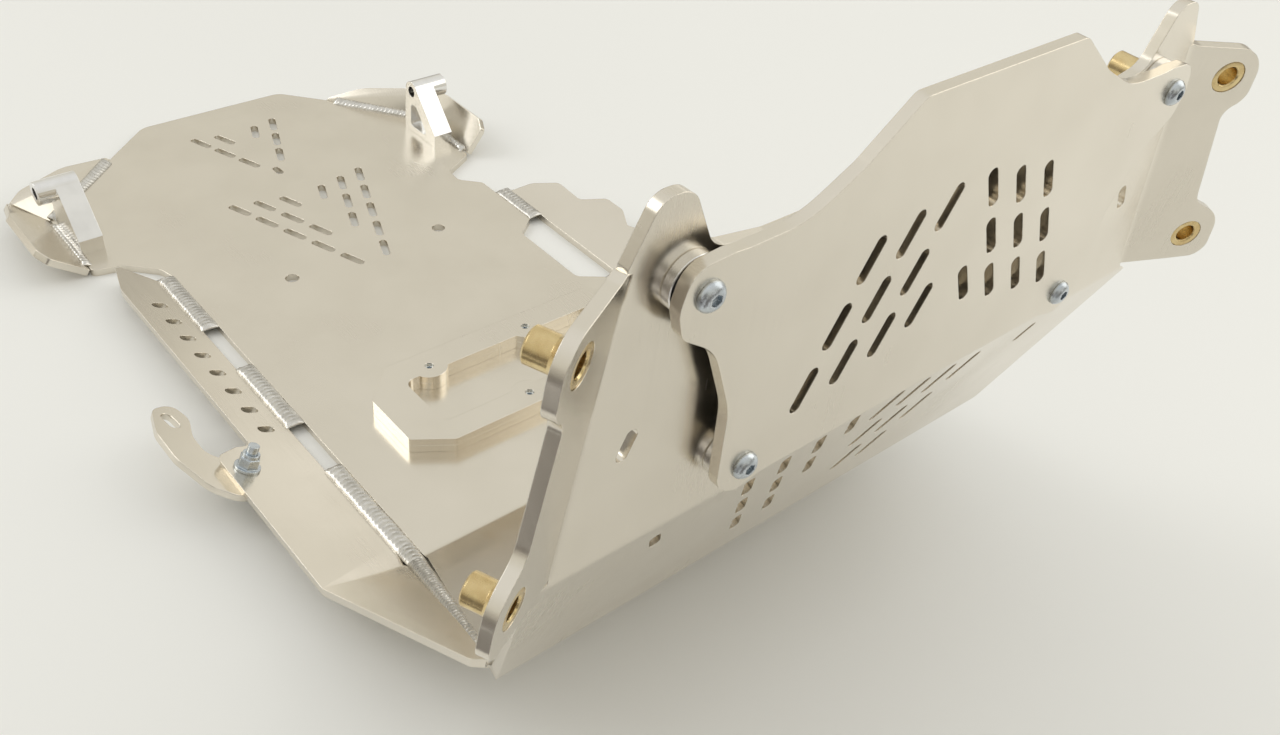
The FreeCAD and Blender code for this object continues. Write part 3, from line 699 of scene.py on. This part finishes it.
@dataclass
class PanelPlace:
    """Places on the leaning front panel and on its flanges, in metres.

    The fold is y and z of the panel's foot. The ends of the flange's bend are x and z.
    """

    lean_deg: float = 1.5
    fold_mm: Pair = (-321.2, 170.0)
    bend_low_mm: Pair = (171.0, 172.0)
    bend_top_mm: Pair = (151.0, 288.0)
    turn_deg: float = 27.0

    @property
    def out(self) -> Vector:
        """Outward direction of the front panel."""
        lean = math.radians(self.lean_deg)
        return Vector((0.0, -math.cos(lean), -math.sin(lean)))

    def point(self, x_mm: float, z_mm: float, out_mm: float = 0.0) -> Vector:
        """Point before the panel's front face at height z."""
        y = self.fold_mm[0] - math.tan(math.radians(self.lean_deg)) * (z_mm - self.fold_mm[1])
        return Vector((x_mm, y, z_mm)) * MM + self.out * (out_mm * MM)

    def flange(self, u_mm: float, z_mm: float) -> tuple[Vector, Vector]:
        """Point on the right flange's front face and its outward direction.

        Args:
            u_mm: Distance from the bend.
            z_mm: Height.

        Returns:
            The point in metres and the unit direction.
        """
        low = self.point(*self.bend_low_mm)
        top = self.point(*self.bend_top_mm)
        line = (top - low).normalized()
        across = self.out.cross(line).normalized()
        if across.x < 0.0:
            across = -across
        turn = math.radians(self.turn_deg)
        away = across * math.cos(turn) + self.out * math.sin(turn)
        face = self.out * math.cos(turn) - across * math.sin(turn)
        base = low + line * ((z_mm * MM - low.z) / line.z)
        flat = Vector((away.x, away.y, 0.0)).normalized()
        return base + flat * (u_mm * MM), face


@dataclass
class PlateBody:
    """Main plate, wings, rear ears, guard, pad, bracket arm and the two mount blocks."""

    sheets: tuple[str, ...] = (
        "main_plate", "wing_left", "wing_right", "ear_left", "ear_right", "front_guard",
        "pad_lower", "pad_upper", "bracket_arm",
    )
    blocks: tuple[str, ...] = ("mount_block_left", "mount_block_right")
    block_edge_mm: float = 0.5
    block_segments: int = 3

    def build(self, frame: dict[str, Any], finishes: Finishes) -> list[bpy.types.Object]:
        """Dress the sheets and the machined blocks.

        Args:
            finishes: The shared finishes.

        Returns:
            The pieces.
        """
        parts = [SolidPart(node, finishes.plate) for node in self.sheets]
        for node in self.blocks:
            parts.append(SolidPart(node, finishes.machined, self.block_edge_mm, self.block_segments))
        return [part.build(frame) for part in parts]


@dataclass(frozen=True)
class RearGusset:
    """Sheet that carries a rear ear on around the oblique corner of the floor.

    A corner of the outline is its distance along the hinge, its distance up the sheet and its radius.
    """

    name: str
    side: Side
    corner_mm: Pair
    along_deg: float
    rise_deg: float
    outline_mm: tuple[Spot, ...]
    foot_mm: float = 4.5
    edge_mm: float = 0.4
    edge_segments: int = 2
    corner_segments: int = 6

    def build(self, finishes: Finishes) -> bpy.types.Object:
        """Raise the outline over the hinge and give it the sheet's thickness.

        Args:
            finishes: The shared finishes.

        Returns:
            The piece.
        """
        along, up = self.axes()
        origin = Vector((*self.corner_mm, self.foot_mm))
        mesh = bmesh.new()
        ring = [mesh.verts.new((origin + along * a + up * b) * MM) for a, b, _ in self.outline_mm]
        mesh.faces.new(ring)
        for vert, (_, _, radius) in zip(ring, self.outline_mm):
            if radius > 0.0:
                soften(mesh, [vert], radius, self.corner_segments, Bevelled.CORNERS)
        mesh.faces.ensure_lookup_table()
        made = bmesh.ops.extrude_face_region(mesh, geom=[mesh.faces[0]])["geom"]
        low = [g for g in made if isinstance(g, bmesh.types.BMVert)]
        down = along.cross(up) * self.side.value
        bmesh.ops.translate(mesh, vec=down * SHEET_MM * MM, verts=low)
        bmesh.ops.recalc_face_normals(mesh, faces=mesh.faces)
        edges = [e for e in mesh.edges if e.calc_face_angle(0.0) > math.radians(SHARP_DEG)]
        soften(mesh, edges, self.edge_mm, self.edge_segments)
        return finish_piece(mesh, self.name, finishes.plate)

    def axes(self) -> tuple[Vector, Vector]:
        """Axes of the gusset's sheet.

        Returns:
            The direction of the hinge towards the rear and the direction up the sheet.
        """
        turn = math.radians(self.along_deg)
        rise = math.radians(self.rise_deg)
        sign = self.side.value
        along = Vector((-sign * math.cos(turn), math.sin(turn), 0.0))
        outward = Vector((sign * math.sin(turn), math.cos(turn), 0.0))
        return along, outward * math.cos(rise) + Vector((0.0, 0.0, math.sin(rise)))


@dataclass
class RearCorners:
    """The gussets of both rear corners."""

    gussets: tuple[RearGusset, ...] = (
        RearGusset("ear_turn_left", Side.LEFT, (-157.4, 236.0), 90.0, 38.0, (
            (-8.0, 2.0, 0.0), (-8.0, 29.0, 0.0), (0.0, 31.5, 2.0), (17.5, 27.5, 2.0), (9.1, 0.3, 0.0),
        )),
        RearGusset("ear_rear_left", Side.LEFT, (-156.8, 244.5), 42.0, 38.0, (
            (-1.0, 0.3, 0.0), (-9.0, 26.0, 3.0), (6.0, 27.5, 4.0), (48.0, 19.5, 6.0),
            (84.0, 3.6, 1.0), (86.0, 0.3, 0.0),
        )),
        RearGusset("ear_rear_right", Side.RIGHT, (127.0, 248.0), 52.2, 56.0, (
            (-3.0, 0.3, 0.0), (-4.0, 20.0, 3.0), (8.0, 21.0, 4.0), (44.0, 15.0, 6.0),
            (70.0, 3.0, 1.0), (72.0, 0.3, 0.0),
        )),
    )

    def build(self, finishes: Finishes) -> list[bpy.types.Object]:
        """Make every gusset.

        Args:
            finishes: The shared finishes.

        Returns:
            The pieces.
        """
        return [gusset.build(finishes) for gusset in self.gussets]


@dataclass(frozen=True)
class WeldSide:
    """What differs between the beads of the left and of the right side, in millimetres.

    A floor bead is its rear and front y. The oblique bead is its two ends, its widths there and the
    direction across it.
    """

    side: Side
    floor_mm: tuple[Pair, Pair]
    ramp_start_mm: float
    ear_x_mm: float
    ear_rear_mm: float
    oblique_mm: tuple[Pair, Pair]
    oblique_widths_mm: Pair
    oblique_across: Spot


@dataclass
class Welds:
    """Weld beads along both sides of the floor and the ramp, and at the rear ears.

    A corner of the ramp bead is x, y and the rise over the floor, with the width and the across
    direction there.
    """

    edge_mm: float = 122.3
    floor_width_mm: float = 11.5
    floor_tilt: float = 0.05
    ramp_mm: tuple[Spot, ...] = (
        (122.3, -146.0, 0.0), (123.3, -159.0, 2.0), (140.5, -217.0, 34.6), (158.8, -275.0, 67.6),
    )
    ramp_widths_mm: tuple[float, ...] = (11.5, 11.0, 9.0, 8.0)
    ramp_across: tuple[Pair, ...] = ((1.0, 0.05), (1.0, 0.2), (1.0, 0.55), (0.8, 0.85))
    ear_front_mm: float = 180.0
    ear_width_mm: float = 6.5
    ear_across: Pair = (0.92, 0.40)
    ear_lift_mm: float = 0.6
    sides: tuple[WeldSide, ...] = (
        WeldSide(
            Side.LEFT, ((142.0, 77.0), (33.0, -31.0)), -72.0, 157.0, 237.0,
            ((-156.0, 244.5), (-96.0, 299.0)), (7.0, 9.5), (-0.62, 0.68, 0.40),
        ),
        WeldSide(
            Side.RIGHT, ((117.0, 74.0), (-12.0, -44.0)), -92.0, 131.2, 236.0,
            ((126.4, 248.4), (87.0, 299.5)), (7.0, 9.0), (0.72, 0.56, 0.40),
        ),
    )

    def build(self, finishes: Finishes) -> list[bpy.types.Object]:
        """Lay every bead and let the groups stand for the solids.

        Args:
            finishes: The shared finishes.

        Returns:
            The pieces.
        """
        pieces = []
        for place in self.sides:
            mark = place.side.mark
            lines = [*self._floor(place), self._ramp(place), self._ear(place), self._oblique(place)]
            for index, (points, widths, across) in enumerate(lines):
                bead = WeldBead(f"weld_{mark}_{index + 1}", points, widths, across)
                pieces.append(bead.build(finishes.weld))
                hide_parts("weld_" + mark)
        return pieces

    def _floor(self, place: WeldSide) -> list[BeadLine]:
        """Lay out the two short beads along the floor.

        Args:
            place: The side.

        Returns:
            Points, widths and across directions of each bead.
        """
        x = place.side.value * self.edge_mm
        across = ((place.side.value, 0.0, self.floor_tilt),) * 2
        widths = (self.floor_width_mm,) * 2
        ends = [((x, rear, SHEET_MM), (x, front, SHEET_MM)) for rear, front in place.floor_mm]
        return [(points, widths, across) for points in ends]

    def _ramp(self, place: WeldSide) -> BeadLine:
        """Lay out the bead that climbs the ramp.

        Args:
            place: The side.

        Returns:
            Points, widths and across directions of the bead.
        """
        sign = place.side.value
        start = (sign * self.edge_mm, place.ramp_start_mm, SHEET_MM)
        climb = tuple((sign * x, y, SHEET_MM + rise) for x, y, rise in self.ramp_mm)
        across = tuple((sign * out, 0.0, up) for out, up in self.ramp_across)
        return (start, *climb), (self.floor_width_mm, *self.ramp_widths_mm), (across[0], *across)

    def _ear(self, place: WeldSide) -> BeadLine:
        """Lay out the straight bead at the ear's foot.

        Args:
            place: The side.

        Returns:
            Points, widths and across directions of the bead.
        """
        x = place.side.value * place.ear_x_mm
        foot = SHEET_MM + self.ear_lift_mm
        out, up = self.ear_across
        points = ((x, self.ear_front_mm, foot), (x, place.ear_rear_mm, foot))
        return points, (self.ear_width_mm,) * 2, ((place.side.value * out, 0.0, up),) * 2

    def _oblique(self, place: WeldSide) -> BeadLine:
        """Lay out the bead along the floor's oblique corner.

        Args:
            place: The side.

        Returns:
            Points, widths and across directions of the bead.
        """
        foot = SHEET_MM + self.ear_lift_mm
        points = tuple((x, y, foot) for x, y in place.oblique_mm)
        return points, place.oblique_widths_mm, (place.oblique_across,) * 2


@dataclass
class Fasteners:
    """Guard screws with their stacks, ear bushings, pad screws, bracket bolt and nut.

    A guard spot is x and z on the panel, an ear spot its distance from the bend and z. Profiles are
    (radius, height): the screw's over the guard, the insert's from the sheet's back, the bushing's
    from the ear's face.
    """

    place: PanelPlace
    screw_spots_mm: tuple[tuple[str, float, float], ...] = (("upper", 126.0, 280.2), ("lower", 93.7, 193.6))
    ear_spots_mm: tuple[tuple[str, float, float], ...] = (("upper", 22.0, 275.0), ("lower", 29.5, 190.0))
    bare_nodes: tuple[str, ...] = ("pad_screws", "bracket_bolt", "bracket_nut")
    bare_edge_mm: float = 0.3
    ring_bore_mm: float = 3.3
    ring_edge_mm: float = 0.3
    spacer_mm: float = 4.0
    spacer_radius_mm: float = 10.5
    rubber_mm: float = 1.2
    rubber_radius_mm: float = 9.6
    screw_past_mm: float = 9.0
    screw_radius_mm: float = 2.9
    screw_tip_mm: Pair = (2.3, 0.7)
    head_mm: tuple[Pair, ...] = (
        (2.9, 0.0), (5.3, 0.0), (5.5, 0.25), (5.5, 0.75), (5.35, 1.2), (5.0, 1.75), (4.45, 2.35),
        (3.7, 2.9), (3.0, 3.2), (2.75, 3.25),
    )
    hex_mm: float = 4.0
    hex_depth_mm: float = 2.1
    insert_front_mm: tuple[Pair, ...] = ((3.05, -0.2), (4.6, -0.2))
    insert_back_mm: tuple[Pair, ...] = (
        (4.6, 0.0), (7.3, 0.0), (7.5, 0.3), (7.5, 1.3), (7.2, 1.7), (6.0, 2.6), (6.0, 12.3),
        (5.3, 13.0), (3.6, 13.0), (3.05, 12.4),
    )
    bushing_past_mm: float = 11.5
    bushing_front_mm: tuple[Pair, ...] = (
        (4.85, 0.0), (6.9, 0.0), (7.25, -0.12), (7.4, -0.5), (7.4, -6.0), (6.9, -6.6), (6.0, -7.8),
    )
    bushing_bore_mm: float = 4.25
    bushing_edge_mm: float = 0.7
    bushing_mouth_mm: float = 0.6

    def build(self, frame: dict[str, Any], finishes: Finishes) -> list[bpy.types.Object]:
        """Make every fastener.

        Args:
            finishes: The shared finishes.

        Returns:
            The pieces.
        """
        pieces = []
        for level, x, z in self.screw_spots_mm:
            for side in Side:
                pieces += self._stack(f"{level}_{side.mark}", side.value * x, z, finishes)
        for level, u, z in self.ear_spots_mm:
            point, face = self.place.flange(u, z)
            for side in Side:
                flip = Vector((side.value, 1.0, 1.0))
                pieces.append(self._bushing(f"{level}_{side.mark}", point * flip, face * flip, finishes))
        for node in self.bare_nodes:
            pieces.append(SolidPart(node, finishes.zinc, self.bare_edge_mm).build(frame))
        return pieces

    def _ring(self, radius: float, height: float) -> list[Pair]:
        """Profile of a flat ring with broken outer edges.

        Args:
            radius: Outer radius in millimetres.
            height: Thickness in millimetres.

        Returns:
            The profile from the lower to the upper bore edge.
        """
        bore, edge = self.ring_bore_mm, self.ring_edge_mm
        lower = [(bore, 0.0), (radius - edge, 0.0), (radius, edge)]
        return lower + [(radius, height - edge), (radius - edge, height), (bore, height)]

    def _stack(self, tail: str, x: float, z: float, finishes: Finishes) -> list[bpy.types.Object]:
        """Spacer, rubber washer, button screw and threaded bushing of one guard point.

        Args:
            tail: End of the pieces' names.
            x: Place across the panel in millimetres.
            z: Height in millimetres.
            finishes: The shared finishes.

        Returns:
            The four pieces.
        """
        raised = self.spacer_mm + self.rubber_mm
        end = -(raised + SHEET_MM + SHEET_MM + self.screw_past_mm)
        tip, taper = self.screw_tip_mm
        screw = [(0.0, end), (tip, end), (self.screw_radius_mm, end + taper), *self.head_mm]
        insert = [*self.insert_front_mm, *((r, -SHEET_MM - depth) for r, depth in self.insert_back_mm)]
        spacer = self._ring(self.spacer_radius_mm, self.spacer_mm)
        washer = self._ring(self.rubber_radius_mm, self.rubber_mm)
        pieces = []
        for kind, profile, out_mm, finish, hex_mm in (
            ("spacer", spacer, 0.0, finishes.machined, 0.0),
            ("washer", washer, self.spacer_mm, finishes.rubber, 0.0),
            ("screw", screw, raised + SHEET_MM, finishes.zinc, self.hex_mm),
            ("insert", insert, 0.0, finishes.gold, 0.0),
        ):
            part = Turned(
                f"guard_{kind}_piece_{tail}", [f"guard_{kind}_{tail}"], profile,
                self.place.point(x, z, out_mm), self.place.out,
                hex_mm=hex_mm, hex_depth_mm=self.hex_depth_mm,
            )
            pieces.append(part.build(finish))
        return pieces

    def _bushing(self, tail: str, point: Vector, face: Vector, finishes: Finishes) -> bpy.types.Object:
        """Flanged bushing of a flange ear.

        Args:
            tail: End of the piece's name.
            point: Its place on the ear's face in metres.
            face: Direction out of that face.
            finishes: The shared finishes.

        Returns:
            The piece.
        """
        back = -(SHEET_MM + self.bushing_past_mm)
        radius, edge, bore = self.bushing_front_mm[-1][0], self.bushing_edge_mm, self.bushing_bore_mm
        rear = [(radius, back + edge), (radius - edge, back), (bore, back), (bore, -self.bushing_mouth_mm)]
        profile = [*self.bushing_front_mm, *rear]
        part = Turned("bushing_piece_" + tail, ["bushing_" + tail], profile, point, face.normalized())
        return part.build(finishes.gold)


@dataclass(frozen=True)
class Viewpoint:
    """Camera at the photograph's place, turn and focal length."""

    place_mm: Spot = (-345.0, -535.9, 488.8)
    azimuth_deg: float = -43.89
    elevation_deg: float = 38.70
    roll_deg: float = 6.2
    focal_px: float = 1251.2
    image_px: float = 1280.0
    sensor_mm: float = 36.0
    near_m: float = 0.01

    def build(self) -> None:
        """Set up the camera and make it the scene's."""
        a = math.radians(self.azimuth_deg)
        e = math.radians(self.elevation_deg)
        r = math.radians(self.roll_deg)
        back = Vector((math.sin(a) * math.cos(e), -math.cos(a) * math.cos(e), math.sin(e)))
        right = Vector((math.cos(a), math.sin(a), 0.0))
        up = back.cross(right)
        x = right * math.cos(r) + up * math.sin(r)
        y = up * math.cos(r) - right * math.sin(r)
        data = bpy.data.cameras.new("camera")
        data.sensor_fit = "HORIZONTAL"
        data.sensor_width = self.sensor_mm
        data.lens = self.focal_px / self.image_px * self.sensor_mm
        data.clip_start = self.near_m
        camera = bpy.data.objects.new("camera", data)
        turn = Matrix((x, y, back)).transposed()
        camera.matrix_world = Matrix.Translation(Vector(self.place_mm) * MM) @ turn.to_4x4()
        bpy.context.scene.collection.objects.link(camera)
        bpy.context.scene.camera = camera


@dataclass(frozen=True)
class TableTop:
    """Large pale table top whose near edge lies just under the camera."""

    azimuth_deg: float
    half_m: float = 6.0
    near_edge_mm: float = 470.0

    def build(self) -> None:
        """Lay the table top."""
        mesh = bmesh.new()
        turn = math.radians(self.azimuth_deg)
        ahead = Vector((-math.sin(turn), math.cos(turn), 0.0))
        centre = ahead * (self.half_m - self.near_edge_mm * MM)
        place = Matrix.Translation(centre) @ Matrix.Rotation(turn, 4, "Z")
        bmesh.ops.create_grid(mesh, x_segments=1, y_segments=1, size=self.half_m, matrix=place)
        data = bpy.data.meshes.new("table_top")
        mesh.to_mesh(data)
        mesh.free()
        data.materials.append(TableFinish().build())
        table = bpy.data.objects.new("table_top", data)
        bpy.context.scene.collection.objects.link(table)


@dataclass(frozen=True)
class Room:
    """Warm, pale room that is dark below the table and dim behind the camera.

    Faint dark and pale bands near the table's height streak the metal. The camera sees plain wall.
    """

    heights: Pair = (-0.2, 1.0)
    walls: tuple[tuple[float, Colour], ...] = (
        (0.0, (0.10, 0.09, 0.08)), (0.16, (0.20, 0.19, 0.17)), (0.19, (0.78, 0.74, 0.62)),
        (0.42, (0.75, 0.73, 0.65)), (0.75, (0.80, 0.79, 0.74)), (1.0, (0.88, 0.88, 0.86)),
    )
    behind: Spot = (-0.68, -0.71, 0.18)
    behind_span: Pair = (0.90, 0.97)
    behind_cover: float = 0.85
    behind_colour: Colour = (0.12, 0.11, 0.10)
    band_stretch: Spot = (3.6, 3.6, 0.8)
    band_heights: Pair = (0.16, 0.36)
    bands: tuple[tuple[Pair, float, Colour], ...] = (
        ((0.50, 0.56), 0.85, (0.24, 0.22, 0.20)), ((0.46, 0.41), 0.9, (1.15, 1.13, 1.08)),
    )
    seen_colour: Colour = (0.82, 0.82, 0.78)

    def build(self) -> None:
        """Make the room the scene's world."""
        world = bpy.data.worlds.new("room")
        bpy.context.scene.world = world
        graph = Graph(world)
        direction = graph.add("TexCoord").outputs["Generated"]
        height = graph.add("SeparateXYZ", {"Vector": direction}).outputs["Z"]
        walls = graph.ramp(graph.span(height, self.heights), self.walls)
        behind = graph.span(graph.dot(direction, self.behind), self.behind_span, (0.0, self.behind_cover))
        walls = graph.mix(behind, walls, self.behind_colour)
        streaks = graph.speckle(graph.stretch(direction, self.band_stretch), 1.0, 1.0)
        low = graph.span(height, self.band_heights, (1.0, 0.0))
        for span, cover, colour in self.bands:
            share = graph.calc("MULTIPLY", low, graph.span(streaks, span, (0.0, cover)))
            walls = graph.mix(share, walls, colour)
        seen = graph.add("LightPath").outputs["Is Camera Ray"]
        shown = graph.mix(seen, walls, self.seen_colour)
        light = graph.add("Background", {"Color": shown, "Strength": 1.0})
        graph.add("OutputWorld", {"Surface": light.outputs[0]})


@dataclass(frozen=True)
class Lamp:
    """Square area lamp that looks at the plate, in metres and watts."""

    name: str
    place: Spot
    size: float
    power: float
    colour: Colour
    aim: Spot = (0.0, 0.0, 0.05)

    def build(self) -> None:
        """Hang the lamp and turn it to the plate."""
        lamp = bpy.data.lights.new(self.name, "AREA")
        lamp.energy = self.power
        lamp.size = self.size
        lamp.color = self.colour
        holder = bpy.data.objects.new(self.name, lamp)
        holder.location = self.place
        aim = Vector(self.aim) - Vector(self.place)
        holder.rotation_euler = aim.to_track_quat("-Z", "Y").to_euler()
        bpy.context.scene.collection.objects.link(holder)


@dataclass
class Studio:
    """Table, room light, camera and two lamps: one at the front right, one behind at the left."""

    camera: Viewpoint = Viewpoint()
    room: Room = Room()
    lamps: tuple[Lamp, ...] = (
        Lamp("side_panel", (1.7, -0.8, 1.3), 1.8, 9.5, (1.0, 0.99, 0.96)),
        Lamp("window", (-1.5, 1.55, 1.7), 1.4, 13.0, (0.98, 0.99, 1.0)),
    )

    def build(self) -> None:
        """Set the table, the light and the camera."""
        TableTop(self.camera.azimuth_deg).build()
        self.room.build()
        for lamp in self.lamps:
            lamp.build()
        self.camera.build()
        bpy.context.scene.view_settings.view_transform = "Standard"


def main() -> None:
    """Load the frame, dress it and set the studio."""
    logging.basicConfig(level=logging.INFO, format="%(name)s: %(message)s")
    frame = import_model()
    finishes = Finishes()
    pieces = PlateBody().build(frame, finishes)
    pieces += RearCorners().build(finishes)
    pieces += Welds().build(finishes)
    pieces += Fasteners(PanelPlace()).build(frame, finishes)
    for piece in pieces:
        LOG.info("%s: %d faces", piece.name, len(piece.data.polygons))
    Studio().build()
    bpy.context.view_layer.update()


if __name__ == "__main__":
    main()
